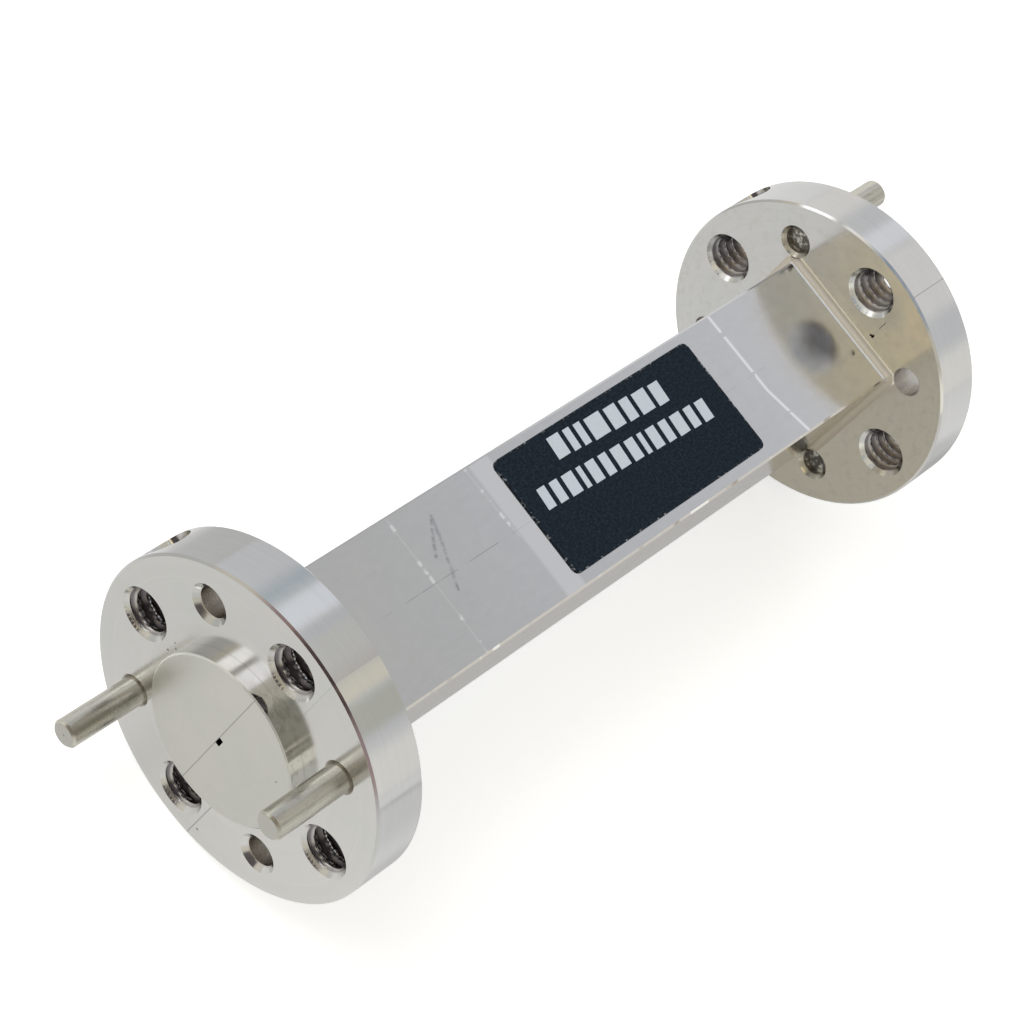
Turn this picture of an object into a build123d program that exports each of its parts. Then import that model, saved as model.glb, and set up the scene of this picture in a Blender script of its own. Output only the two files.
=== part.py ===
from build123d import *
import math
import os

os.makedirs("parts", exist_ok=True)

# A straight length of very small rectangular waveguide with a round flange on each end.
# It is milled as two halves that meet on a stepped split and are held by small screws.
# The guide runs along X, the label lies on the +Z side, and the screw heads face +Y.
# The near end is at -X and the far end at +X. All sizes are in millimetres.

# Inside size of the guide
guide_width = 0.5588
guide_height = 0.2794

# Length over the two mating faces
overall_length = 50.8

# Flanges and their raised centre bosses
flange_diameter = 19.05
flange_thickness = 3.1
flange_edge_break = 0.12
boss_diameter = 9.525
boss_height = 0.95
boss_edge_break = 0.08

# Bar between the flanges, set a little towards the side with the screw heads
body_width = 8.54
body_height = 8.4
body_centre_y = 0.06
body_edge_break = 0.12
body_root_radius = 0.5

# Holes of the standard flange pattern, all on one circle
hole_circle_diameter = 14.2875
flange_thread_diameter = 2.845
flange_thread_break = 0.1
guide_pin_diameter = 1.562
receiving_hole_clearance = 0.07
receiving_hole_front_break = 0.3
pin_hole_front_break = 0.15
pin_hole_back_break = 0.22

# Guide pins
pin_stand_out = 4.65
pin_back_recess = 0.5
pin_end_break = 0.13

# Stepped split: level with one side of the guide near the middle, lower past the step
split_level_middle = guide_height / 2
split_level_flange = -1.8
step_half_width = 5.2
step_side_clearance = 0.01
step_corner_relief = 0.26
step_relief_depth = 1.4

# Small socket head screws that clamp the halves
screw_thread_diameter = 1.524
screw_head_diameter = 2.4
screw_head_height = 1.52
screw_socket_across_flats = 1.27
screw_socket_depth = 0.8
screw_hole_clearance = 0.09
screw_head_clearance = 0.05
screw_hole_run_out = 0.7

# Screws through the flange rims
flange_screw_offset = 2.95
flange_screw_seat = 7.0
flange_screw_length = 9.525

# Screws at the middle of the bar
body_screw_offset = 2.4
body_screw_head_depth = 1.75
body_screw_length = 4.7625

# Dowels that line the halves up, hidden inside
dowel_diameter = 1.5
dowel_length = 5.0
dowel_hole_end_room = 0.2
dowel_position = 11.5
dowel_offset = 2.4

# Label
label_length = 15.75
label_width = 7.2
label_thickness = 0.12
label_corner_radius = 0.4
label_centre_x = 2.66
label_centre_y = 0.13

# Derived places
mating_face = overall_length / 2
flange_front = mating_face - boss_height
flange_back = flange_front - flange_thickness
flange_middle = (flange_front + flange_back) / 2
hole_circle_radius = hole_circle_diameter / 2
diagonal = hole_circle_radius * math.sqrt(0.5)

# How far cutters run past the surfaces that they cut, and how near counts as touching
cut_past = 1.0
far_past = 12.0
touching = 0.001


def turned_solid(points, place):
    # Revolves a half outline of (radius, height) pairs about the local Z of a plane.
    outline = Plane.XZ * make_face(Polyline(points, close=True))
    return place * revolve(outline, axis=Axis.Z)


def end_plane(x, y, z, end):
    # A plane on the flange of one end whose local Z points out of that end.
    return Plane(origin=(end * x, y, z), x_dir=(0, 1, 0), z_dir=(end, 0, 0))


def side_plane(x, y, z):
    # A plane whose local Z points to the +Y side, where the screw heads are.
    return Plane(origin=(x, y, z), x_dir=(1, 0, 0), z_dir=(0, 1, 0))


def turned_end(end):
    # Flange and boss turned in one piece, from its back face to its mating face.
    boss_radius = boss_diameter / 2
    flange_radius = flange_diameter / 2
    mating = flange_thickness + boss_height
    points = [
        (0, 0),
        (flange_radius - flange_edge_break, 0),
        (flange_radius, flange_edge_break),
        (flange_radius, flange_thickness - flange_edge_break),
        (flange_radius - flange_edge_break, flange_thickness),
        (boss_radius, flange_thickness),
        (boss_radius, mating - boss_edge_break),
        (boss_radius - boss_edge_break, mating),
        (0, mating),
    ]
    return turned_solid(points, end_plane(flange_back, 0, 0, end))


def bar():
    # The square bar with its long edges broken.
    solid = Pos(0, body_centre_y, 0) * Box(2 * flange_back, body_width, body_height)
    return chamfer(solid.edges().filter_by(Axis.X), body_edge_break)


def blank():
    # Bar and flanges as one piece, with a small radius where the bar meets each flange.
    solid = bar() + turned_end(-1) + turned_end(1)
    half_width = body_width / 2 + touching
    half_height = body_height / 2 + touching
    roots = []
    for edge in solid.edges():
        centre = edge.center()
        on_back = abs(abs(centre.X) - flange_back) < touching
        across = abs(centre.Y - body_centre_y)
        on_bar = across < half_width and abs(centre.Z) < half_height
        if on_back and on_bar:
            roots.append(edge)
    return fillet(roots, body_root_radius)


def through_hole(radius, front_break, back_break, y, z, end):
    # Cutter for a hole through a flange, with a break at its front and, if any, at its back.
    points = [(0, -cut_past), (radius + back_break, -cut_past)]
    if back_break > 0:
        points.append((radius + back_break, 0))
        points.append((radius, back_break))
    points.append((radius, flange_thickness - front_break))
    points.append((radius + front_break, flange_thickness))
    points.append((radius + front_break, flange_thickness + cut_past))
    points.append((0, flange_thickness + cut_past))
    return turned_solid(points, end_plane(flange_back, y, z, end))


def pin_places(end):
    # The two diagonal places that carry pins. Seen from outside, both ends are alike.
    return [(diagonal, end * diagonal), (-diagonal, -end * diagonal)]


def receiving_places(end):
    # The two other diagonal places, which take the pins of the mating flange.
    return [(diagonal, -end * diagonal), (-diagonal, end * diagonal)]


def flange_hole_cutters(end):
    # All eight holes of one flange: four threaded, two for pins and two that receive pins.
    cutters = []
    for step in range(4):
        angle = math.radians(90 * step)
        y = hole_circle_radius * math.cos(angle)
        z = hole_circle_radius * math.sin(angle)
        radius = flange_thread_diameter / 2
        cutters.append(through_hole(radius, flange_thread_break, flange_thread_break, y, z, end))
    for y, z in pin_places(end):
        radius = guide_pin_diameter / 2
        cutters.append(through_hole(radius, pin_hole_front_break, pin_hole_back_break, y, z, end))
    for y, z in receiving_places(end):
        radius = guide_pin_diameter / 2 + receiving_hole_clearance
        cutters.append(through_hole(radius, receiving_hole_front_break, 0, y, z, end))
    return cutters


def split_region(side_room):
    # Everything on the channel side of the stepped split, as a long prism along X.
    half = step_half_width + side_room
    outline = Polyline(
        (-far_past, -far_past),
        (split_level_flange, -far_past),
        (split_level_flange, -half),
        (split_level_middle, -half),
        (split_level_middle, half),
        (split_level_flange, half),
        (split_level_flange, far_past),
        (-far_past, far_past),
        close=True,
    )
    section = Plane.YZ * make_face(outline)
    return extrude(section, amount=overall_length / 2, both=True)


def drilled_blank():
    solid = blank()
    for end in (-1, 1):
        for cutter in flange_hole_cutters(end):
            solid = solid - cutter
    return solid


def step_relief_cutters():
    # Small blind reliefs in the inside corners of the step, cut in from each flange's back face.
    length = step_relief_depth + cut_past
    middle = flange_back + (step_relief_depth - cut_past) / 2
    cutters = []
    for end in (-1, 1):
        for side in (-1, 1):
            place = Pos(end * middle, split_level_flange, side * step_half_width)
            cutters.append(place * Box(length, step_corner_relief, step_corner_relief))
    return cutters


def screw_places():
    # Every clamp screw as its name, its X, its Z, the level of its seat and its length.
    places = []
    body_seat = body_centre_y + body_width / 2 - body_screw_head_depth
    for side, level in ((1, "upper"), (-1, "lower")):
        for end, word in ((-1, "near"), (1, "far")):
            name = f"{word}_flange_screw_{level}"
            x = end * flange_middle
            z = side * flange_screw_offset
            places.append((name, x, z, flange_screw_seat, flange_screw_length))
        name = f"body_screw_{level}"
        places.append((name, 0, side * body_screw_offset, body_seat, body_screw_length))
    return places


def screw_pocket(x, z, seat):
    # Cutter in the cover for one screw: head counterbore and clearance hole.
    head_radius = screw_head_diameter / 2 + screw_head_clearance
    hole_radius = screw_thread_diameter / 2 + screw_hole_clearance
    bottom = split_level_middle - cut_past
    points = [
        (0, bottom - seat),
        (hole_radius, bottom - seat),
        (hole_radius, 0),
        (head_radius, 0),
        (head_radius, far_past - seat),
        (0, far_past - seat),
    ]
    return turned_solid(points, side_plane(x, seat, z))


def screw_thread_hole(x, z, seat, length):
    # Cutter in the channel block for one screw, a blind hole a little deeper than its tip.
    depth = seat - length - screw_hole_run_out
    top = split_level_middle + cut_past
    place = side_plane(x, (top + depth) / 2, z)
    return place * Cylinder(screw_thread_diameter / 2, top - depth)


def dowel_places():
    return [(-dowel_position, dowel_offset), (dowel_position, -dowel_offset)]


def dowel_hole(x, z):
    # One blind hole in each half, cut by the same straight cylinder.
    length = dowel_length + 2 * dowel_hole_end_room
    return side_plane(x, split_level_middle, z) * Cylinder(dowel_diameter / 2, length)


def channel_block(solid):
    # The half that carries the milled guide channel and the blind threaded holes.
    block = solid & split_region(0)
    block = block - Box(overall_length + cut_past, guide_height, guide_width)
    for cutter in step_relief_cutters():
        block = block - cutter
    for name, x, z, seat, length in screw_places():
        block = block - screw_thread_hole(x, z, seat, length)
    for x, z in dowel_places():
        block = block - dowel_hole(x, z)
    return block


def cover_block(solid):
    # The half that closes the channel and carries the heads of the clamp screws.
    cover = solid - split_region(step_side_clearance)
    for name, x, z, seat, length in screw_places():
        cover = cover - screw_pocket(x, z, seat)
    for x, z in dowel_places():
        cover = cover - dowel_hole(x, z)
    return cover


def clamp_screw(x, z, seat, length):
    # Socket head screw with a hexagon recess, its head on the seat and its tip towards -Y.
    head_radius = screw_head_diameter / 2
    thread_radius = screw_thread_diameter / 2
    points = [
        (0, -length),
        (thread_radius, -length),
        (thread_radius, 0),
        (head_radius, 0),
        (head_radius, screw_head_height),
        (0, screw_head_height),
    ]
    place = side_plane(x, seat, z)
    body = turned_solid(points, place)
    corner_radius = screw_socket_across_flats / 2 / math.cos(math.radians(30))
    floor = screw_head_height - screw_socket_depth
    recess = extrude(RegularPolygon(corner_radius, 6), amount=screw_socket_depth + cut_past)
    return body - place * Pos(0, 0, floor) * recess


def guide_pin(y, z, end):
    # Hardened pin pressed through the flange, its back end just inside the back face.
    radius = guide_pin_diameter / 2
    start = pin_back_recess
    tip = flange_thickness + pin_stand_out
    points = [
        (0, start),
        (radius, start),
        (radius, tip - pin_end_break),
        (radius - pin_end_break, tip),
        (0, tip),
    ]
    return turned_solid(points, end_plane(flange_back, y, z, end))


def dowel(x, z):
    return side_plane(x, split_level_middle, z) * Cylinder(dowel_diameter / 2, dowel_length)


def label():
    # Thin bare label on the +Z side of the bar.
    outline = RectangleRounded(label_length, label_width, label_corner_radius)
    plate = extrude(outline, amount=label_thickness)
    return Pos(label_centre_x, label_centre_y, body_height / 2) * plate


pieces = {}
whole = drilled_blank()
pieces["channel_block"] = channel_block(whole)
pieces["cover_block"] = cover_block(whole)
for end, word in ((-1, "near"), (1, "far")):
    for y, z in pin_places(end):
        level = "upper" if z > 0 else "lower"
        pieces[f"{word}_guide_pin_{level}"] = guide_pin(y, z, end)
for name, x, z, seat, length in screw_places():
    pieces[name] = clamp_screw(x, z, seat, length)
for number, (x, z) in enumerate(dowel_places(), start=1):
    pieces[f"dowel_{number}"] = dowel(x, z)
pieces["label"] = label()

for node, shape in pieces.items():
    export_step(shape, f"parts/{node}.step")
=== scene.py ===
import math

import bpy
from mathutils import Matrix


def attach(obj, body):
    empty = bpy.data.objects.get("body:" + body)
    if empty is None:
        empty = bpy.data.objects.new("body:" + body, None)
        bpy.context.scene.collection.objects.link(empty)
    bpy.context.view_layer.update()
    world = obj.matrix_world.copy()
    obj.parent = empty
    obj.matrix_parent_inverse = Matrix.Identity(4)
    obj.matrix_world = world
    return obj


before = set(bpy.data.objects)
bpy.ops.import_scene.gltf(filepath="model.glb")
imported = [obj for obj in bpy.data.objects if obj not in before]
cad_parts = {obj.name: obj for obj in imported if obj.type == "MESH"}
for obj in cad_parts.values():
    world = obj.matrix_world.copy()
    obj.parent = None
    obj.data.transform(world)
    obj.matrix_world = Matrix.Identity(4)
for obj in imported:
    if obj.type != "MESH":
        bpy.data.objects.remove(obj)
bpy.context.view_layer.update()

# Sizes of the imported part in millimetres, which the materials and added pieces follow
MM = 0.001
hole_circle_radius = 14.2875 / 2
hole_diagonal = hole_circle_radius * math.sqrt(0.5)
flange_back = 21.35
flange_front = 24.45
flange_radius = 9.525
mating_face = 25.4
edge_break = 0.12
root_start = 20.8
bar_top_level = 4.2
receiving_hole_radius = 0.851
pin_tip = 29.1
pin_radius = 0.781
pin_tip_chamfer = 0.16
split_level_middle = 0.1397
split_level_flange = -1.8
step_half_width = 5.2
label_left = -5.215
label_right = 10.535
label_side = 3.6
label_centre_y = 0.13
label_top = 4.32


# Small helpers that write shader arithmetic

class Tree:
    """One node tree, with short calls for the nodes that the materials use."""

    def __init__(self, tree):
        self.tree = tree
        tree.nodes.clear()

    def node(self, kind, **settings):
        made = self.tree.nodes.new(kind)
        for name, value in settings.items():
            setattr(made, name, value)
        return made

    def put(self, socket, value):
        # Links an output to a socket, or sets a plain value on it.
        if isinstance(value, bpy.types.NodeSocket):
            self.tree.links.new(value, socket)
        elif isinstance(value, (tuple, list)) and len(value) == 3 and socket.type == "RGBA":
            socket.default_value = (*value, 1.0)
        else:
            socket.default_value = value

    def math(self, operation, first, second=0.0, clamp=False):
        made = self.node("ShaderNodeMath", operation=operation, use_clamp=clamp)
        self.put(made.inputs[0], first)
        self.put(made.inputs[1], second)
        return made.outputs[0]

    def chain(self, operation, values):
        total = values[0]
        for value in values[1:]:
            total = self.math(operation, total, value)
        return total

    def add(self, *values):
        return self.chain("ADD", values)

    def mul(self, *values):
        return self.chain("MULTIPLY", values)

    def most(self, *values):
        return self.chain("MAXIMUM", values)

    def least(self, *values):
        return self.chain("MINIMUM", values)

    def sub(self, first, second):
        return self.math("SUBTRACT", first, second)

    def size(self, value):
        return self.math("ABSOLUTE", value)

    def vector(self, operation, first, second=(0.0, 0.0, 0.0)):
        made = self.node("ShaderNodeVectorMath", operation=operation)
        self.put(made.inputs[0], first)
        self.put(made.inputs[1], second)
        plain = operation in ("LENGTH", "DISTANCE", "DOT_PRODUCT")
        return made.outputs["Value"] if plain else made.outputs[0]

    def scale(self, value, amount):
        made = self.node("ShaderNodeVectorMath", operation="SCALE")
        self.put(made.inputs[0], value)
        self.put(made.inputs["Scale"], amount)
        return made.outputs[0]

    def split(self, value):
        made = self.node("ShaderNodeSeparateXYZ")
        self.put(made.inputs[0], value)
        return made.outputs[0], made.outputs[1], made.outputs[2]

    def join(self, x, y, z):
        made = self.node("ShaderNodeCombineXYZ")
        for socket, value in zip(made.inputs, (x, y, z)):
            self.put(socket, value)
        return made.outputs[0]

    def step(self, value, low, high):
        # Smooth change from 0 at low to 1 at high.
        made = self.node("ShaderNodeMapRange", interpolation_type="SMOOTHSTEP")
        self.put(made.inputs["Value"], value)
        self.put(made.inputs["From Min"], low)
        self.put(made.inputs["From Max"], high)
        return made.outputs["Result"]

    def fall(self, value, low, high):
        # Smooth change from 1 at low to 0 at high.
        return self.sub(1.0, self.step(value, low, high))

    def between(self, value, low, high, soft):
        # 1 between two limits and 0 outside them, with a soft change at each.
        rise = self.step(value, low - soft, low + soft)
        return self.mul(rise, self.fall(value, high - soft, high + soft))

    def spread(self, value, low, high, new_low, new_high):
        # Straight change from one range of values to another, held at its ends.
        made = self.node("ShaderNodeMapRange")
        self.put(made.inputs["Value"], value)
        self.put(made.inputs["From Min"], low)
        self.put(made.inputs["From Max"], high)
        self.put(made.inputs["To Min"], new_low)
        self.put(made.inputs["To Max"], new_high)
        return made.outputs["Result"]

    def mix(self, share, first, second):
        made = self.node("ShaderNodeMix", data_type="RGBA")
        self.put(made.inputs["Factor"], share)
        colours = [socket for socket in made.inputs if socket.type == "RGBA"]
        self.put(colours[0], first)
        self.put(colours[1], second)
        return [socket for socket in made.outputs if socket.type == "RGBA"][0]

    def noise(self, place, scale, detail=2.0, roughness=0.5):
        # The scale is one number, or one for each of x, y and z.
        made = self.node("ShaderNodeTexNoise")
        if isinstance(scale, tuple):
            place = self.vector("MULTIPLY", place, scale)
            scale = 1.0
        self.put(made.inputs["Vector"], place)
        made.inputs["Scale"].default_value = scale
        made.inputs["Detail"].default_value = detail
        made.inputs["Roughness"].default_value = roughness
        return made.outputs["Fac"]

    def bump(self, height, base=None):
        # Heights are in millimetres.
        made = self.node("ShaderNodeBump")
        if base is not None:
            self.put(made.inputs["Normal"], base)
        made.inputs["Strength"].default_value = 1.0
        made.inputs["Distance"].default_value = MM
        self.put(made.inputs["Height"], height)
        return made.outputs["Normal"]


def new_material(name):
    material = bpy.data.materials.new(name)
    material.use_nodes = True
    tree = Tree(material.node_tree)
    shader = tree.node("ShaderNodeBsdfPrincipled")
    output = tree.node("ShaderNodeOutputMaterial")
    tree.put(output.inputs["Surface"], shader.outputs[0])
    return material, tree, shader


def place_in_mm(tree):
    # The place on the part, in its own frame.
    coordinates = tree.node("ShaderNodeTexCoord")
    return tree.scale(coordinates.outputs["Object"], 1 / MM)


def facing(tree):
    # The direction that the surface faces, in the part's own frame.
    return tree.node("ShaderNodeTexCoord").outputs["Normal"]


def angle_from_overhead(tree, y, z):
    # In radians, 0 towards +Z and growing towards -Y.
    return tree.math("ARCTAN2", tree.mul(y, -1.0), z)


def line_distance(tree, place, start, end):
    # Distance from a place to the straight line between two points.
    along = [b - a for a, b in zip(start, end)]
    length_squared = sum(v * v for v in along)
    offset = tree.vector("SUBTRACT", place, start)
    reached = tree.vector("DOT_PRODUCT", offset, along)
    share = tree.math("DIVIDE", reached, length_squared, clamp=True)
    return tree.vector("DISTANCE", offset, tree.scale(along, share))


# Marks on the blocks, as places in millimetres

# Each step line across the bar's top: its bends as (x, y), its strength and how broken it is
step_lines = [
    ([(-12.65, -4.2), (-12.65, 4.3)], 0.75, 0.56),
    ([(-6.8, 4.3), (-6.75, 1.6), (-6.6, -0.2)], 0.75, 0.53),
    ([(13.95, -4.2), (13.3, -1.0), (13.2, 4.3)], 1.0, 0.40),
]
pencil_marks = [
    [(-10.30, 3.10), (-10.62, 2.10), (-10.98, 1.10), (-11.35, 0.25)],
    [(-11.35, 0.25), (-11.75, -0.75)],
    [(-10.42, 2.95), (-11.05, 2.10), (-11.60, 1.25)],
]
# Centre and radius of each pit
pits = [
    ((-flange_front, 5.12, -0.25), 0.07),
    ((-flange_front, 5.08, 0.64), 0.05),
    ((-flange_front, 4.85, 0.38), 0.06),
    ((-flange_front, -2.08, -8.27), 0.07),
    ((-mating_face, -3.29, 1.94), 0.05),
]
# Centre of the painted blue reflection on the bar's top near the far flange
reflection_spot_centre = (18.2, -0.4, bar_top_level)
# Where the pale band beside the label starts
pale_band_start = -6.5


class Block:
    """Places, directions and regions of the two blocks, shared by colour, relief and roughness."""

    def __init__(self, tree):
        self.tree = tree
        self.place = place_in_mm(tree)
        self.x, self.y, self.z = tree.split(self.place)
        normal_x, self.normal_y, self.normal_z = tree.split(facing(tree))
        self.lean = tree.size(normal_x)
        self.radius = tree.vector("LENGTH", tree.join(0.0, self.y, self.z))
        self.around = angle_from_overhead(tree, self.y, self.z)
        self.far = tree.step(self.x, 0.0, 1.0)
        self.near = tree.step(self.x, -flange_back + 1.0, -flange_back)
        reach = tree.size(self.x)
        sideways = tree.fall(self.lean, 0.2, 0.4)
        slanted = tree.between(self.lean, 0.4, 0.9, 0.05)

        # The bar
        self.on_end = tree.step(reach, flange_back - 0.06, flange_back - 0.01)
        self.on_bar = tree.sub(1.0, self.on_end)
        self.bar_top = tree.mul(tree.step(self.normal_z, 0.8, 0.95), self.on_bar)
        self.bar_side = tree.mul(tree.step(tree.mul(self.normal_y, -1.0), 0.8, 0.95), self.on_bar)
        # The spot on the bar's top that takes a painted blue reflection
        from_reflection_spot = tree.vector("DISTANCE", self.place, reflection_spot_centre)
        self.reflection_spot = tree.mul(tree.fall(from_reflection_spot, 1.0, 2.5), self.bar_top)

        # The rounded root where the bar meets a flange
        before_flange = tree.fall(reach, flange_back - 0.002, flange_back + 0.002)
        past_bar = tree.step(reach, root_start - 0.02, root_start + 0.04)
        curved = tree.between(self.lean, 0.1, 0.996, 0.003)
        self.root = tree.mul(past_bar, before_flange, curved)

        # The flanges
        self.end_face = tree.mul(tree.step(self.lean, 0.8, 0.95), self.on_end)
        rim_inside = flange_radius - edge_break
        outside = tree.step(self.radius, rim_inside - 0.02, rim_inside)
        self.rim = tree.mul(outside, sideways, self.on_end)
        back = tree.fall(reach, flange_back + 0.02, flange_back + 0.06)
        self.far_back = tree.mul(self.far, back, self.end_face)
        front_edge = tree.step(self.radius, rim_inside - 0.01, rim_inside + 0.01)
        in_front = tree.step(reach, flange_back + 1.0, flange_back + 2.0)
        self.front_break = tree.mul(front_edge, slanted, in_front)

        # The raised bosses
        beyond_flange = tree.step(reach, flange_front + 0.02, flange_front + 0.05)
        self.boss_wall = tree.mul(beyond_flange, sideways)
        at_mating_face = tree.step(reach, mating_face - 0.06, mating_face - 0.01)
        self.boss_face = tree.mul(at_mating_face, self.end_face)
        at_boss_edge = tree.step(reach, mating_face - 0.12, mating_face - 0.09)
        self.boss_break = tree.mul(slanted, at_boss_edge)

    def axis_distance(self, y, z):
        return self.tree.vector("DISTANCE", self.tree.join(0.0, self.y, self.z), (0.0, y, z))


def seam_distance(block):
    # Distance to the stepped split, as it shows on any outer face.
    tree = block.tree
    middle = tree.size(tree.sub(block.y, split_level_middle))
    outer = tree.size(tree.sub(block.y, split_level_flange))
    in_middle = tree.math("LESS_THAN", tree.size(block.z), step_half_width)
    return tree.add(tree.mul(middle, in_middle), tree.mul(outer, tree.sub(1.0, in_middle)))


def seam_mask(block):
    # The halves close so well that the seam shows only here and there.
    tree = block.tree
    gaps = tree.step(tree.noise(block.place, 1.1, 2.0), 0.40, 0.52)
    faint = tree.spread(tree.step(block.x, -6.6, -7.0), 0.0, 1.0, 0.10, 0.3)
    in_reach = tree.mul(tree.step(block.x, -17.5, -13.5), tree.step(block.x, 15.0, 14.0))
    strength = tree.mul(block.bar_top, gaps, faint, in_reach)
    near_face = tree.mul(block.near, block.end_face)
    on_boss = tree.mul(tree.step(block.x, -25.0, -25.3), tree.step(tree.size(block.z), 5.0, 4.9))
    below_boss = tree.mul(near_face, tree.step(block.z, -5.0, -5.2))
    above_boss = tree.mul(near_face, tree.step(block.z, 5.0, 5.2))
    far_rim = tree.mul(block.rim, block.far)
    on_far_back = tree.mul(tree.step(block.z, 5.1, 5.2), tree.fall(block.z, 6.5, 6.7))
    far_back = tree.mul(block.far_back, on_far_back, gaps)
    shares = [
        (on_boss, 0.42), (below_boss, 0.5), (above_boss, 0.12), (far_rim, 0.34), (far_back, 0.75),
    ]
    for mask, share in shares:
        strength = tree.most(strength, tree.mul(mask, share))
    return tree.mul(tree.fall(seam_distance(block), 0.012, 0.05), strength)


def path_distance(block, points):
    # Distance to a line of straight runs on the bar's top.
    tree = block.tree
    runs = []
    for (x_one, y_one), (x_two, y_two) in zip(points, points[1:]):
        start = (x_one, y_one, bar_top_level)
        end = (x_two, y_two, bar_top_level)
        runs.append(line_distance(tree, block.place, start, end))
    return tree.least(*runs)


def pencil_mask(block):
    # Faint dotted grey marks on the bar's top.
    tree = block.tree
    dots = tree.spread(tree.noise(block.place, 3.2, 3.0, 0.7), 0.38, 0.62, 0.1, 1.0)
    lines = [tree.fall(path_distance(block, points), 0.0, 0.17) for points in pencil_marks]
    return tree.mul(tree.most(*lines), dots, block.bar_top)


def step_line_mask(block):
    # Broken lines across the bar where one pass of the cutter met the next, painted bright as
    # highlights.
    tree = block.tree
    blobs = tree.noise(block.place, (0.5, 1.2, 0.0), 2.0, 0.6)
    lines = []
    for points, strength, level in step_lines:
        distance = path_distance(block, points)
        lines.append(tree.mul(tree.fall(distance, 0.02, 0.09), 0.16))
        blob = tree.mul(tree.step(blobs, level - 0.03, level + 0.03), strength)
        lines.append(tree.mul(tree.fall(distance, 0.04, 0.16), blob))
    return tree.mul(tree.most(*lines), block.bar_top)


def pit_mask(block):
    tree = block.tree
    masks = []
    for centre, size in pits:
        distance = tree.vector("DISTANCE", block.place, centre)
        masks.append(tree.fall(distance, size * 0.5, size * 1.25))
    return tree.most(*masks)


def hole_mask(block):
    # The plain walls of the pin holes and of the receiving holes.
    tree = block.tree
    masks = []
    for y, z in ((1, 1), (1, -1), (-1, 1), (-1, -1)):
        distance = block.axis_distance(y * hole_diagonal, z * hole_diagonal)
        masks.append(tree.fall(distance, receiving_hole_radius + 0.01, 0.93))
    return tree.mul(tree.most(*masks), block.on_end)


def pin_hole_mask(block):
    # Around the back ends of the far pins, where the countersinks get painted shade.
    tree = block.tree
    folded = tree.join(0.0, tree.size(block.y), tree.size(block.z))
    distance = tree.vector("DISTANCE", folded, (0.0, hole_diagonal, hole_diagonal))
    same_side = tree.step(tree.mul(block.y, block.z), -1.0, 1.0)
    close = tree.fall(distance, 1.1, 1.2)
    return tree.mul(close, same_side, tree.step(block.x, 20.0, 21.0))


# Colours of the blocks. The first ones are pairs, between which soft patches change.
bar_tints = (0.60, 0.608, 0.632), (0.632, 0.634, 0.642)
face_tints = (0.635, 0.65, 0.625), (0.70, 0.678, 0.655)
boss_tints = (0.585, 0.59, 0.545), (0.655, 0.64, 0.60)
rim_tints = (0.66, 0.665, 0.67), (0.68, 0.675, 0.66)
# Painted warm reflection on the bar's -Y side
bar_side_reflection_tints = (0.73, 0.665, 0.58), (0.67, 0.645, 0.605)
# Painted warm reflection on the far flange's back face
far_back_warm_reflection = (0.71, 0.66, 0.53)
far_back_spot = (0.50, 0.46, 0.40)
boss_blotch_dark = (0.30, 0.27, 0.22)
# Painted dark reflection on the flanges' front edges
front_break_dark_reflection = (0.30, 0.22, 0.26)
root_dull = (0.58, 0.53, 0.44)
boss_break_dull = (0.66, 0.66, 0.62)
# Painted highlight lines along the top of the bar's root
root_highlight_at_flange = (0.95, 0.90, 0.76)
root_highlight_at_bar = (0.86, 0.89, 0.94)
# Painted blue reflection on the bar's top
painted_blue_reflection = (0.58, 0.64, 0.78)
pale_band = (0.80, 0.80, 0.82)
hole_wall = (0.62, 0.59, 0.55)
# Painted shade in the countersinks round the far pins' back ends
countersink_shade = (0.36, 0.33, 0.26)
seam_dark = (0.16, 0.155, 0.145)
pit_dark = (0.10, 0.09, 0.08)
pencil_grey = (0.20, 0.21, 0.24)
# Painted highlight on the cutter's step lines
step_line_highlight = (0.95, 0.96, 0.98)
# Painted reflections and glints on the bar's long edge
long_edge_dark_reflection = (0.40, 0.355, 0.30)
long_edge_tan_reflection = (0.66, 0.63, 0.59)
long_edge_glint = (0.98, 0.97, 0.94)


def bare_metal(block):
    # Soft warm and cool patches, a light change of shade along the tool's path, painted shade
    # across the end faces, and painted warm reflections on the far flange's back face and on the
    # bar's -Y side.
    tree = block.tree
    patches = tree.noise(block.place, 0.3, 3.0, 0.6)
    bar = tree.mix(patches, *bar_tints)
    bar = tree.scale(bar, tree.spread(block.x, -12.0, 14.0, 1.0, 1.07))
    face = tree.mix(patches, *face_tints)
    # Painted shade: the end faces darker towards +Y and +Z
    across_face = tree.add(block.y, block.z)
    face = tree.scale(face, tree.spread(across_face, -8.0, 8.0, 1.04, 0.925))
    face = tree.mix(block.boss_face, face, tree.mix(patches, *boss_tints))
    colour = tree.mix(block.on_end, bar, face)
    colour = tree.mix(block.rim, colour, tree.mix(patches, *rim_tints))
    # Painted warm reflection on the lower part of the far flange's back face
    film_and_warm_reflection = tree.mul(block.far_back, tree.step(block.y, 4.0, -3.0), 0.85)
    colour = tree.mix(film_and_warm_reflection, colour, far_back_warm_reflection)
    spots = tree.step(tree.noise(block.place, 1.5, 3.0, 0.7), 0.5, 0.66)
    colour = tree.mix(tree.mul(spots, block.far_back, 0.22), colour, far_back_spot)
    # Painted warm reflection: a tan tint on the bar's -Y side
    bar_side = tree.mix(tree.noise(block.place, 0.45, 2.0), *bar_side_reflection_tints)
    colour = tree.mix(block.bar_side, colour, bar_side)
    streak_place = tree.join(tree.mul(block.radius, 5.0), 0.0, block.x)
    streaks = tree.noise(streak_place, 1.0, 3.0, 0.7)
    turned = tree.noise(block.place, (7.0, 0.2, 0.2), 3.0, 0.7)
    rim_shade = tree.mul(tree.spread(turned, 0.3, 0.7, -0.02, 0.02), block.rim)
    return tree.scale(colour, tree.add(tree.spread(streaks, 0.3, 0.7, 0.975, 1.02), rim_shade))


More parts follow.
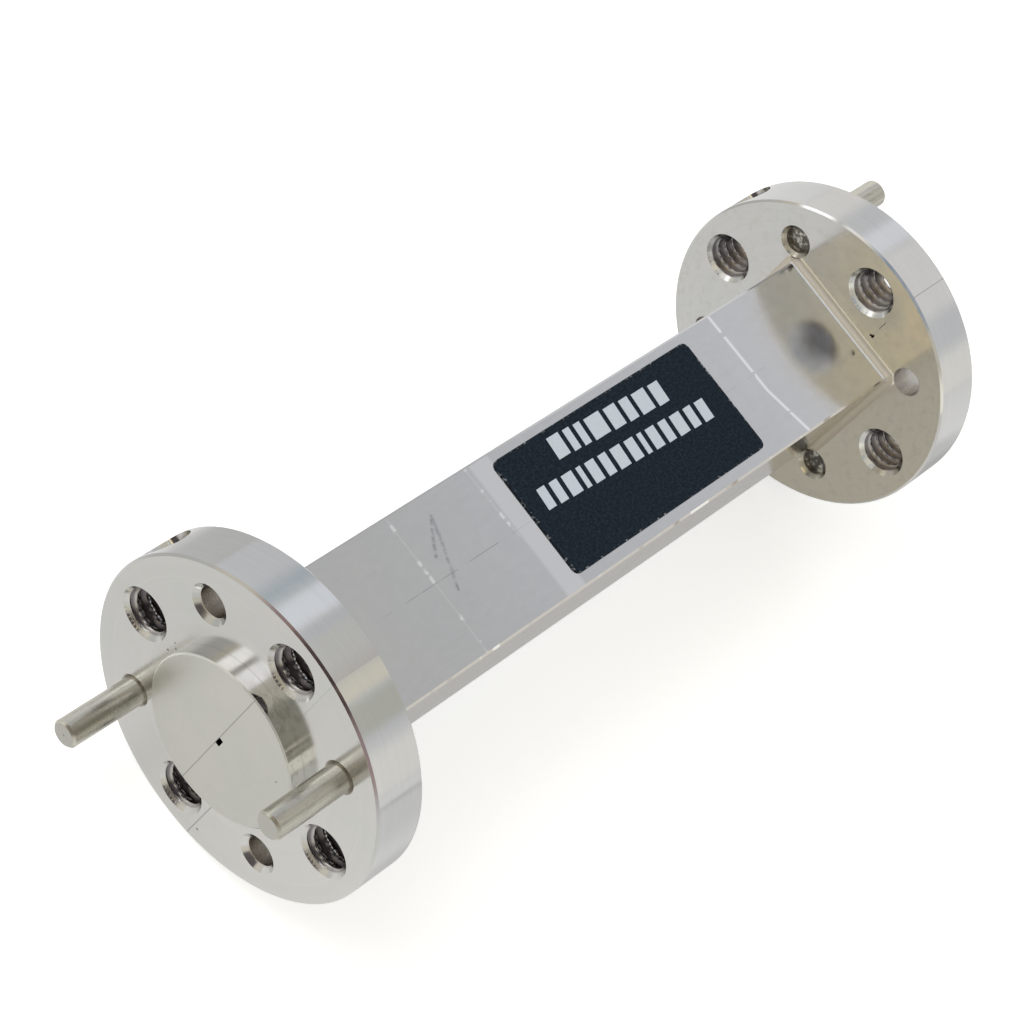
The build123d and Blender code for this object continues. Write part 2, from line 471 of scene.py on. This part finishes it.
def boss_and_front_edge(block, colour):
    # Dark blotches on one side of the lighter wall of each boss, and a painted dark reflection
    # along the front edge of each flange.
    tree = block.tree
    colour = tree.scale(colour, tree.add(tree.mul(block.boss_wall, 0.12), 1.0))
    blotches = tree.step(tree.noise(block.place, 1.6, 3.0, 0.65), 0.45, 0.62)
    blotched_side = tree.mul(
        tree.step(block.around, -0.35, 0.1), tree.step(block.around, 1.6, 1.1)
    )
    blotched = tree.mul(blotches, block.boss_wall, blotched_side)
    colour = tree.mix(tree.mul(blotched, 0.35), colour, boss_blotch_dark)
    # Painted dark reflection along part of each flange's front edge
    reflection_side = tree.mul(
        tree.step(block.around, -0.47, -0.23), tree.fall(block.around, 0.6, 1.05)
    )
    painted_dark_share = tree.mul(block.front_break, reflection_side)
    return tree.mix(tree.mul(painted_dark_share, 0.85), colour, front_break_dark_reflection)


def root_highlights_and_reflection_spot(block, colour):
    # The root of the bar, tan and dull, with two painted highlight lines along its top, and the
    # painted blue reflection on the bar's top before it.
    tree = block.tree
    colour = tree.mix(block.root, colour, root_dull)
    colour = tree.mix(block.boss_break, colour, boss_break_dull)
    top_root = tree.mul(block.root, tree.step(block.z, 3.9, 4.2))
    # Painted highlight lines along the top of the root, one at the flange and one at the bar
    at_flange = tree.mul(top_root, tree.step(block.lean, 0.94, 0.97))
    colour = tree.mix(at_flange, colour, root_highlight_at_flange)
    at_bar = tree.mul(top_root, tree.fall(block.lean, 0.27, 0.38))
    colour = tree.mix(at_bar, colour, root_highlight_at_bar)
    return tree.mix(tree.mul(block.reflection_spot, 0.25), colour, painted_blue_reflection)


def holes_and_marks(block, colour, seam, pit, hole):
    tree = block.tree
    band = tree.between(block.x, pale_band_start, label_left + 0.1, 0.15)
    slanted = tree.between(block.lean, 0.5, 0.9, 0.05)
    # Painted shade in the countersinks round the far pins' back ends
    countersink = tree.mul(slanted, pin_hole_mask(block))
    marks = [
        (tree.mul(band, block.bar_top, 0.7), pale_band),
        (tree.mul(hole, 0.9), hole_wall),
        (tree.mul(countersink, 0.8), countersink_shade),
        (seam, seam_dark),
        (tree.mul(pit, 0.8), pit_dark),
        (tree.mul(pencil_mask(block), 0.6), pencil_grey),
        (step_line_mask(block), step_line_highlight),
    ]
    for share, tint in marks:
        colour = tree.mix(share, colour, tint)
    return colour


def long_edge_reflections(block, colour):
    # The broken long edge between the bar's top and its -Y side: painted glints in places, painted
    # dark and tan reflections in others.
    tree = block.tree
    slanted = tree.between(block.normal_z, 0.55, 0.85, 0.05)
    edge = tree.mul(slanted, block.on_bar, tree.step(block.normal_y, 0.2, -0.2))
    run = tree.noise(tree.join(tree.mul(block.x, 0.35), 3.0, 0.0), 1.0, 2.0, 0.6)
    line = tree.mix(tree.step(run, 0.36, 0.44), long_edge_dark_reflection, long_edge_tan_reflection)
    line = tree.mix(tree.step(run, 0.57, 0.60), line, long_edge_glint)
    return tree.mix(tree.mul(edge, 0.9), colour, line)


# Depths of the blocks' relief in millimetres
ring_depth = 0.001
rim_line_depth = 0.0005
milled_line_depth = 0.0005
grain_depth = 0.0004
wave_depth = 0.003
seam_depth = 0.01
pit_depth = 0.02


def block_relief(block, seam, pit):
    # Turned rings on the end faces, fine lines round the rims and milled lines on the bar.
    tree = block.tree
    rings = tree.noise(tree.join(tree.mul(block.radius, 9.0), 0.0, 0.0), 1.0, 3.0, 0.6)
    rim_lines = tree.noise(tree.join(tree.mul(block.x, 11.0), 0.0, 0.0), 1.0, 3.0, 0.6)
    milled = tree.noise(block.place, (9.0, 0.25, 0.25), 3.0, 0.6)
    grain = tree.noise(block.place, 7.0, 2.0, 0.6)
    waves = tree.noise(block.place, 0.5, 1.0)
    beside_boss = tree.mul(block.on_end, tree.fall(block.radius, 5.4, 7.0))
    with_waves = tree.sub(1.0, tree.mul(beside_boss, 0.9))
    height = tree.add(
        tree.mul(rings, block.end_face, ring_depth),
        tree.mul(rim_lines, block.rim, rim_line_depth),
        tree.mul(milled, block.on_bar, milled_line_depth),
        tree.mul(grain, grain_depth),
        tree.mul(waves, with_waves, wave_depth),
    )
    height = tree.sub(height, tree.mul(seam, seam_depth))
    return tree.sub(height, tree.mul(pit, pit_depth))


def block_roughness(block, seam, pit, hole):
    # A smooth base that drifts a little, and what each region adds to it.
    tree = block.tree
    drift = tree.spread(tree.noise(block.place, 1.3, 3.0), 0.3, 0.7, -0.02, 0.03)
    far_bar = tree.mul(tree.step(block.x, 12.0, 15.0), block.bar_top)
    additions = [
        (block.end_face, 0.04), (block.boss_face, 0.15), (block.boss_wall, -0.04),
        (far_bar, 0.03), (block.reflection_spot, 0.09), (block.root, 0.35), (hole, 0.15),
        (tree.most(seam, pit), 0.3),
    ]
    return tree.add(drift, 0.12, *[tree.mul(mask, more) for mask, more in additions])


def block_metallic(block):
    # Bare metal, less metallic in the root of the bar and on the edge of each boss.
    tree = block.tree
    return tree.sub(1.0, tree.mul(tree.add(block.root, block.boss_break), 0.6))


def block_metal():
    material, tree, shader = new_material("block_metal")
    block = Block(tree)
    seam = seam_mask(block)
    pit = pit_mask(block)
    hole = hole_mask(block)
    colour = boss_and_front_edge(block, bare_metal(block))
    colour = root_highlights_and_reflection_spot(block, colour)
    colour = holes_and_marks(block, colour, seam, pit, hole)
    tree.put(shader.inputs["Base Color"], long_edge_reflections(block, colour))
    tree.put(shader.inputs["Metallic"], block_metallic(block))
    tree.put(shader.inputs["Roughness"], block_roughness(block, seam, pit, hole))
    tree.put(shader.inputs["Normal"], tree.bump(block_relief(block, seam, pit)))
    return material


thread_mouth = 0.28
thread_mouth_tints = (0.62, 0.62, 0.59), (0.74, 0.735, 0.71)
thread_crest_tints = (0.42, 0.40, 0.39), (0.62, 0.60, 0.585)
# Painted shade in the threads' grooves and deep in the holes
thread_groove_shade_tints = (0.14, 0.13, 0.135), (0.27, 0.25, 0.25)
thread_deep_shade = (0.13, 0.115, 0.12)


def thread_metal():
    # The same metal where a tap has cut it: bright mouth and crests, with painted shade in the
    # grooves and further into the hole.
    material, tree, shader = new_material("thread_metal")
    place = place_in_mm(tree)
    x, y, z = tree.split(place)
    reach = tree.size(x)
    depth = tree.least(tree.sub(flange_front, reach), tree.sub(reach, flange_back))
    folded = tree.join(0.0, tree.size(y), tree.size(z))
    to_side = tree.vector("DISTANCE", folded, (0.0, hole_circle_radius, 0.0))
    to_top = tree.vector("DISTANCE", folded, (0.0, 0.0, hole_circle_radius))
    radius = tree.least(to_side, to_top)
    smears = tree.noise(place, (5.0, 1.5, 1.5), 3.0, 0.6)
    mouth = tree.mix(smears, *thread_mouth_tints)
    crest = tree.mix(smears, *thread_crest_tints)
    groove = tree.mix(smears, *thread_groove_shade_tints)
    inside = tree.mix(tree.step(radius, 1.16, 1.30), crest, groove)
    # Painted shade deeper in the holes, stronger in the near flange's holes
    painted_dark_share = tree.spread(x, flange_back, -flange_back, 0.45, 0.9)
    inside = tree.mix(tree.mul(painted_dark_share, tree.step(depth, 0.5, 0.95)), inside, thread_deep_shade)
    deep = tree.step(depth, thread_mouth - 0.08, thread_mouth + 0.04)
    tree.put(shader.inputs["Base Color"], tree.mix(deep, mouth, inside))
    shader.inputs["Metallic"].default_value = 1.0
    tree.put(shader.inputs["Roughness"], tree.spread(smears, 0.3, 0.7, 0.16, 0.28))
    tree.put(shader.inputs["Normal"], tree.bump(tree.mul(smears, 0.002)))
    return material


pin_tints = (0.69, 0.672, 0.60), (0.46, 0.44, 0.385)
# Painted highlight along each pin
pin_painted_highlight = (0.88, 0.86, 0.79)
pin_tip_grey = (0.50, 0.495, 0.45)
pin_dark = (0.12, 0.11, 0.095)


def pin_steel():
    # Ground pin: soft streaks along it, fine lines round it, a painted highlight along it, and
    # painted shade at its recessed back end.
    material, tree, shader = new_material("pin_steel")
    place = place_in_mm(tree)
    x, y, z = tree.split(place)
    reach = tree.size(x)
    off_y = tree.sub(y, tree.mul(tree.math("SIGN", y), hole_diagonal))
    off_z = tree.sub(z, tree.mul(tree.math("SIGN", z), hole_diagonal))
    streaks = tree.noise(place, (0.008, 3.2, 3.2), 3.0, 0.6)
    rings = tree.noise(place, (14.0, 0.3, 0.3), 3.0, 0.6)
    blotch_noise = tree.noise(place, 2.6, 3.0, 0.6)
    specks = tree.noise(place, (1.0, 5.0, 5.0), 2.0, 0.6)
    colour = tree.mix(tree.step(streaks, 0.3, 0.7), *pin_tints)

    # A painted highlight in a band along each pin
    around = angle_from_overhead(tree, off_y, off_z)
    band = tree.mul(tree.step(around, -0.95, -0.65), tree.step(around, -0.25, -0.45))
    colour = tree.mix(tree.mul(band, 0.45), colour, pin_painted_highlight)
    at_tip = tree.step(reach, pin_tip - 0.02, pin_tip - 0.005)
    colour = tree.mix(at_tip, colour, pin_tip_grey)

    # A centre mark on one tip, specks on the wall and painted shade, broken by noise, at the
    # recessed back end
    tip_centre = (-pin_tip, hole_diagonal, -hole_diagonal)
    from_centre = tree.vector("DISTANCE", place, tip_centre)
    on_wall = tree.step(reach, pin_tip - 0.01, pin_tip - 0.03)
    # Painted shade on the pin's back end, down in its recess
    back = tree.fall(reach, flange_back + 0.52, flange_back + 0.56)
    dark = tree.most(
        tree.mul(tree.fall(from_centre, 0.04, 0.08), 0.6),
        tree.mul(tree.step(specks, 0.54, 0.68), 0.2, on_wall),
        tree.mul(back, tree.step(blotch_noise, 0.34, 0.52)),
    )
    tree.put(shader.inputs["Base Color"], tree.mix(dark, colour, pin_dark))
    shader.inputs["Metallic"].default_value = 1.0
    tree.put(shader.inputs["Roughness"], tree.spread(rings, 0.3, 0.7, 0.25, 0.31))

    # The ground wall is truly round, whatever the corners of its mesh
    outward = tree.join(0.0, off_y, off_z)
    from_axis = tree.vector("LENGTH", outward)
    wall = tree.mul(
        tree.math("GREATER_THAN", from_axis, pin_radius - 0.041),
        tree.math("LESS_THAN", from_axis, pin_radius + 0.009),
        tree.math("LESS_THAN", reach, pin_tip - pin_tip_chamfer),
        tree.step(reach, flange_front + 0.4, flange_front + 0.5),
    )
    base = tree.mix(wall, facing(tree), tree.vector("NORMALIZE", outward))
    height = tree.add(tree.mul(rings, 0.0003), tree.mul(streaks, 0.0005))
    tree.put(shader.inputs["Normal"], tree.bump(height, base))
    return material


screw_tints = (0.55, 0.54, 0.52), (0.46, 0.45, 0.43)


def screw_steel():
    # Plain stainless screw, with fine turned lines and slight stains.
    material, tree, shader = new_material("screw_steel")
    place = place_in_mm(tree)
    lines = tree.noise(place, (1.0, 12.0, 1.0), 3.0, 0.6)
    blotch_noise = tree.noise(place, 1.4, 3.0, 0.6)
    tree.put(shader.inputs["Base Color"], tree.mix(blotch_noise, *screw_tints))
    shader.inputs["Metallic"].default_value = 1.0
    tree.put(shader.inputs["Roughness"], tree.spread(lines, 0.3, 0.7, 0.22, 0.34))
    tree.put(shader.inputs["Normal"], tree.bump(tree.mul(lines, 0.0015)))
    return material


film_grain_tints = (0.003, 0.008, 0.014), (0.018, 0.029, 0.043)
film_cloud = (0.009, 0.016, 0.025)
film_nick = (0.36, 0.37, 0.39)


def label_film():
    # Thin dark film with a blue cast, a fine grain and pale nicks along its edges.
    material, tree, shader = new_material("label_film")
    place = place_in_mm(tree)
    x, y, _ = tree.split(place)
    grain = tree.noise(place, 6.0, 3.0, 0.75)
    cloud = tree.noise(place, 0.5, 2.0)
    colour = tree.mix(tree.step(grain, 0.35, 0.7), *film_grain_tints)
    colour = tree.mix(tree.mul(cloud, 0.4), colour, film_cloud)
    from_left = tree.sub(x, label_left)
    from_right = tree.sub(label_right, x)
    from_sides = tree.sub(label_side, tree.size(tree.sub(y, label_centre_y)))
    inset = tree.least(from_left, from_right, from_sides)
    border = tree.fall(inset, 0.02, 0.12)
    nicks = tree.mul(border, tree.step(tree.noise(place, 3.5, 3.0, 0.7), 0.56, 0.64))
    colour = tree.mix(tree.mul(nicks, 0.8), colour, film_nick)
    tree.put(shader.inputs["Base Color"], colour)
    shader.inputs["Specular IOR Level"].default_value = 0.1
    tree.put(shader.inputs["Roughness"], tree.spread(grain, 0.3, 0.7, 0.45, 0.6))
    tree.put(shader.inputs["Normal"], tree.bump(tree.mul(grain, 0.008)))
    return material


ink_tints = (0.50, 0.56, 0.62), (0.62, 0.68, 0.74)


def label_ink():
    # Pale printed ink, a little uneven.
    material, tree, shader = new_material("label_ink")
    cover = tree.noise(place_in_mm(tree), 6.0, 3.0, 0.6)
    tree.put(shader.inputs["Base Color"], tree.mix(cover, *ink_tints))
    shader.inputs["Roughness"].default_value = 0.5
    shader.inputs["Specular IOR Level"].default_value = 0.3
    tree.put(shader.inputs["Normal"], tree.bump(tree.mul(cover, 0.003)))
    return material


def wear(piece, material):
    piece.data.materials.clear()
    piece.data.materials.append(material)


def flat_faced_piece(name, points, faces):
    mesh = bpy.data.meshes.new(name)
    mesh.from_pydata([tuple(c * MM for c in p) for p in points], [], faces)
    mesh.validate()
    mesh.shade_flat()
    piece = bpy.data.objects.new(name, mesh)
    bpy.context.scene.collection.objects.link(piece)
    return piece


# Threads cut in the eight screw holes of the flanges, in millimetres

thread_outer_radius = 1.4225
thread_inner_radius = 1.13
thread_pitch = 0.635
thread_break = 0.1
thread_run_in = 0.14
thread_flat = 0.125
thread_clearance = 0.002
thread_columns = 96
thread_rows = 84
thread_length = flange_front - flange_back
thread_back_depths = [0.0, thread_break, thread_length - thread_break, thread_length]
thread_places = [("right", 0), ("top", 90), ("left", 180), ("bottom", 270)]


def countersink_radius(edge):
    # Radius of the broken edge at some depth from the nearer face.
    return thread_outer_radius + thread_break - edge


def thread_radius_at(depth, turn):
    # Radius of the cut thread, with a countersink at each end, inside the plain hole.
    phase = (depth / thread_pitch - turn) % 1.0
    slope = min(phase, 1.0 - phase) * 2.0
    rise = (slope - thread_flat) / (1.0 - 2.0 * thread_flat)
    edge = min(depth, thread_length - depth)
    start = min(max((edge - thread_run_in) / thread_run_in, 0.0), 1.0)
    share = min(max(rise, 0.0), 1.0) * start
    cut = thread_inner_radius + (thread_outer_radius - thread_inner_radius) * share
    sink = countersink_radius(edge)
    wall = max(thread_outer_radius, sink)
    return min(max(cut, sink), wall - thread_clearance)


def back_radius_at(depth, turn):
    # Radius of the liner's outside, which lies on the wall of the plain hole.
    edge = min(depth, thread_length - depth)
    return max(thread_outer_radius, countersink_radius(edge))


def ring_points(depth, radius_at, end, y, z):
    points = []
    x = end * (flange_front - depth)
    for column in range(thread_columns):
        turn = column / thread_columns
        angle = 2 * math.pi * turn
        radius = radius_at(depth, turn)
        points.append((x, y + radius * math.cos(angle), z + radius * math.sin(angle)))
    return points


def threaded_liner(name, end, y, z):
    points = []
    for row in range(thread_rows + 1):
        depth = thread_length * row / thread_rows
        points.extend(ring_points(depth, thread_radius_at, end, y, z))
    first_back = len(points)
    for depth in thread_back_depths:
        points.extend(ring_points(depth, back_radius_at, end, y, z))
    faces = []

    def ring_faces(first, second, flip):
        for column in range(thread_columns):
            after = (column + 1) % thread_columns
            face = (first + column, first + after, second + after, second + column)
            faces.append(face[::-1] if flip else face)

    turned = end < 0
    for row in range(thread_rows):
        ring_faces(row * thread_columns, (row + 1) * thread_columns, turned)
    for row in range(len(thread_back_depths) - 1):
        start = first_back + row * thread_columns
        ring_faces(start, start + thread_columns, not turned)
    last_front = thread_rows * thread_columns
    last_back = first_back + (len(thread_back_depths) - 1) * thread_columns
    ring_faces(0, first_back, not turned)
    ring_faces(last_front, last_back, turned)
    return flat_faced_piece(name, points, faces)


def all_threads(material):
    for end, word in ((-1, "near"), (1, "far")):
        for side, degrees in thread_places:
            y = hole_circle_radius * math.cos(math.radians(degrees))
            z = hole_circle_radius * math.sin(math.radians(degrees))
            liner = threaded_liner(f"{word}_thread_{side}", end, y, z)
            wear(liner, material)
            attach(liner, "root")


# Generic print on the label: two rows of plain slanted bars, in millimetres. Each row has its
# left and right end, its level and height across the bar, how much it drops for each
# millimetre, and the widths of its bars.

ink_thickness = 0.01
print_slant = 0.12
print_rows = [
    (-1.5, 7.1, 2.37, 1.3, -0.065, [0.9, 0.5, 0.5, 1.2, 0.9, 0.7, 1.0, 0.8]),
    (-4.1, 8.9, 0.35, 1.25, -0.055,
     [0.6, 0.6, 0.8, 0.35, 0.7, 0.6, 0.8, 0.7, 0.35, 0.7, 0.6, 0.8, 0.6, 0.7]),
]


def label_print(material):
    points = []
    faces = []
    for left, right, level, height, drop, widths in print_rows:
        gap = (right - left - sum(widths)) / (len(widths) - 1)
        at = left
        for width in widths:
            middle = level + drop * (at + width / 2 - (left + right) / 2)
            corners = []
            for x, y in ((at, -0.5), (at + width, -0.5), (at + width, 0.5), (at, 0.5)):
                corners.append((x + print_slant * y, middle + y * height))
            base = len(points)
            points.extend((x, y, label_top) for x, y in corners)
            points.extend((x, y, label_top + ink_thickness) for x, y in corners)
            faces.append((base + 3, base + 2, base + 1, base))
            faces.append((base + 4, base + 5, base + 6, base + 7))
            for side in range(4):
                after = (side + 1) % 4
                faces.append((base + side, base + after, base + 4 + after, base + 4 + side))
            at += width + gap
    piece = flat_faced_piece("label_print", points, faces)
    wear(piece, material)
    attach(piece, "root")


# Studio: a pale floor, a soft surround and one large soft lamp

floor_level = -flange_radius
floor_reach = 2500.0
floor_colour = (0.86, 0.86, 0.85)
floor_mirrored = (0.42, 0.42, 0.415)


def mirrored_floor_level(tree):
    # How bright the floor is where the metal mirrors it: duller in three places around the part,
    # one of them a painted shadow under the bar.
    x, y, _ = tree.split(place_in_mm(tree))
    nearer_end = tree.step(tree.sub(x, tree.mul(y, 0.7)), 12.0, -4.0)
    on_plus_side = tree.mul(tree.step(y, 16.0, 30.0), nearer_end, 0.3)
    before_end = tree.step(x, 46.0, 38.0)
    on_minus_side = tree.mul(tree.step(y, -14.0, -34.0), before_end, 0.13)
    beside = tree.mul(tree.step(x, 24.0, 32.0), before_end, tree.step(y, -8.0, -14.0), 0.22)
    under_y = tree.mul(tree.step(y, -18.0, -11.0), tree.step(y, 5.0, 1.0))
    # Painted shadow of the bar on the floor, seen only where the metal mirrors it
    shadow_under_bar = tree.mul(tree.step(x, -24.0, -12.0), under_y, 0.27)
    return tree.sub(1.0, tree.add(on_plus_side, on_minus_side, beside, shadow_under_bar))


def pale_floor():
    points = [
        (x * floor_reach, y * floor_reach, floor_level)
        for x, y in ((-1, -1), (1, -1), (1, 1), (-1, 1))
    ]
    floor = flat_faced_piece("floor", points, [(0, 1, 2, 3)])
    material, tree, shader = new_material("pale_floor")
    shader.inputs["Roughness"].default_value = 0.9
    shader.inputs["Specular IOR Level"].default_value = 0.0
    rays = tree.node("ShaderNodeLightPath")
    glossy = rays.outputs["Is Glossy Ray"]
    level = mirrored_floor_level(tree)
    mirrored = tree.scale(floor_mirrored, level)
    tree.put(shader.inputs["Base Color"], tree.mix(glossy, floor_colour, mirrored))
    seen = tree.mul(rays.outputs["Is Camera Ray"], 0.5)
    lift = tree.add(seen, tree.mul(glossy, level, 0.48))
    shader.inputs["Emission Color"].default_value = (1.0, 1.0, 1.0, 1.0)
    tree.put(shader.inputs["Emission Strength"], lift)

    # From below, the floor is clear, so that the underside of the object can be seen
    clear = tree.node("ShaderNodeBsdfTransparent")
    either = tree.node("ShaderNodeMixShader")
    tree.put(either.inputs["Fac"], tree.node("ShaderNodeNewGeometry").outputs["Backfacing"])
    tree.put(either.inputs[1], shader.outputs[0])
    tree.put(either.inputs[2], clear.outputs[0])
    output = material.node_tree.get_output_node("ALL")
    tree.put(output.inputs["Surface"], either.outputs[0])
    wear(floor, material)


# Soft cards of the surround. Each is seen where its direction's x share and its angle from
# overhead towards -Y lie between two limits: (x from, x to), (angle from, angle to) in degrees,
# softness of the angle, and colour. The x share is near 0.56 for what the near rim mirrors,
# 0.64 for the bar's top, 0.73 for the far rim, -0.53 for the boss wall, -0.71 for the bar's
# top beside the far flange, and -0.72 to -0.73 for the far flange's back face.
card_x_softness = 0.01
far_sky = (0.68, 0.685, 0.70)
near_sky = (0.72, 0.68, 0.60)
cards = [
    ((0.2, 0.60), (-25.0, 20.0), 5.0, (0.64, 0.635, 0.61)),
    ((0.2, 0.66), (-56.0, -43.0), 7.0, (0.50, 0.555, 0.60)),
    ((0.2, 0.66), (-40.0, -22.0), 3.0, (0.85, 0.88, 0.93)),
    ((0.2, 0.66), (-20.0, -13.0), 2.5, (0.60, 0.61, 0.635)),
    ((0.2, 0.66), (9.0, 18.0), 4.0, (0.60, 0.57, 0.54)),
    ((0.2, 0.66), (20.0, 29.0), 3.0, (0.80, 0.76, 0.64)),
    ((0.2, 0.66), (31.0, 52.0), 4.0, (0.55, 0.55, 0.50)),
    ((0.2, 1.1), (62.0, 150.0), 7.0, (0.88, 0.87, 0.83)),
    ((0.66, 1.1), (-150.0, -62.0), 6.0, (0.86, 0.84, 0.81)),
    ((0.66, 1.1), (-40.0, -22.0), 4.0, (0.86, 0.87, 0.92)),
    ((0.71, 1.1), (-20.0, 34.0), 6.0, (0.84, 0.825, 0.815)),
    ((-0.58, 0.1), (-78.0, -57.0), 3.0, (1.78, 1.79, 1.84)),
    ((-0.58, 0.1), (-56.0, -50.0), 1.5, (0.50, 0.50, 0.52)),
    ((-0.58, 0.1), (-48.0, -24.0), 3.0, (1.62, 1.64, 1.74)),
    ((-0.58, 0.1), (6.0, 62.0), 6.0, (0.34, 0.335, 0.285)),
    ((-0.58, 0.1), (70.0, 108.0), 6.0, (1.10, 1.09, 1.0)),
    ((-0.65, -0.58), (-60.0, 30.0), 8.0, (1.05, 1.03, 0.98)),
    ((-0.718, -0.65), (-34.0, 40.0), 8.0, (0.26, 0.34, 0.47)),
    ((-0.80, -0.718), (-34.0, 40.0), 8.0, (1.52, 1.33, 0.92)),
    ((-1.1, -0.80), (-70.0, 70.0), 8.0, (0.10, 0.085, 0.092)),
]


def surround():
    world = bpy.data.worlds.new("surround")
    bpy.context.scene.world = world
    world.use_nodes = True
    tree = Tree(world.node_tree)
    direction = tree.node("ShaderNodeTexCoord").outputs["Generated"]
    x, y, z = tree.split(direction)
    turn = tree.mul(angle_from_overhead(tree, y, z), 180 / math.pi)
    colour = tree.mix(tree.step(x, -0.1, 0.2), near_sky, far_sky)
    for (x_from, x_to), (start, end), soft, card in cards:
        along = tree.between(x, x_from, x_to, card_x_softness)
        across = tree.between(turn, start, end, soft)
        colour = tree.mix(tree.mul(along, across), colour, card)
    rays = tree.node("ShaderNodeLightPath")
    colour = tree.mix(rays.outputs["Is Camera Ray"], colour, (1.0, 1.0, 1.0))
    background = tree.node("ShaderNodeBackground")
    output = tree.node("ShaderNodeOutputWorld")
    tree.put(background.inputs["Color"], colour)
    background.inputs["Strength"].default_value = 1.0
    tree.put(output.inputs["Surface"], background.outputs[0])


# The lamp's place and diameter in metres, and its power in watts
lamp_place = (-0.25, 0.35, 0.45)
lamp_diameter = 0.5
lamp_power = 1.2


def soft_lamp():
    light = bpy.data.lights.new("soft_lamp", "AREA")
    light.shape = "DISK"
    light.size = lamp_diameter
    light.energy = lamp_power
    lamp = bpy.data.objects.new("soft_lamp", light)
    bpy.context.scene.collection.objects.link(lamp)
    lamp.location = lamp_place
    to_part = -lamp.location
    lamp.rotation_euler = to_part.to_track_quat("-Z", "Y").to_euler()
    lamp.visible_glossy = False


# Camera at the photograph's place: millimetres, degrees, and the lens and sensor in millimetres

camera_place = (-97.395, -13.793, 119.038)
camera_turn = (29.5945, -26.4285, -42.6795)
camera_lens = 102.268
camera_sensor = 36.0


def photo_camera():
    data = bpy.data.cameras.new("photo_camera")
    data.lens = camera_lens
    data.sensor_width = camera_sensor
    data.clip_start = 0.001
    data.clip_end = 10.0
    camera = bpy.data.objects.new("photo_camera", data)
    bpy.context.scene.collection.objects.link(camera)
    camera.location = [c * MM for c in camera_place]
    camera.rotation_euler = [math.radians(a) for a in camera_turn]
    bpy.context.scene.camera = camera


def dress_frame():
    metal = block_metal()
    pin = pin_steel()
    screw = screw_steel()
    film_and_warm_reflection = label_film()
    for name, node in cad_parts.items():
        if name.endswith("_block"):
            wear(node, metal)
        elif "guide_pin" in name or name.startswith("dowel"):
            wear(node, pin)
        elif "screw" in name:
            wear(node, screw)
        else:
            wear(node, film_and_warm_reflection)


dress_frame()
all_threads(thread_metal())
label_print(label_ink())
pale_floor()
surround()
soft_lamp()
photo_camera()
bpy.context.scene.view_settings.view_transform = "Standard"
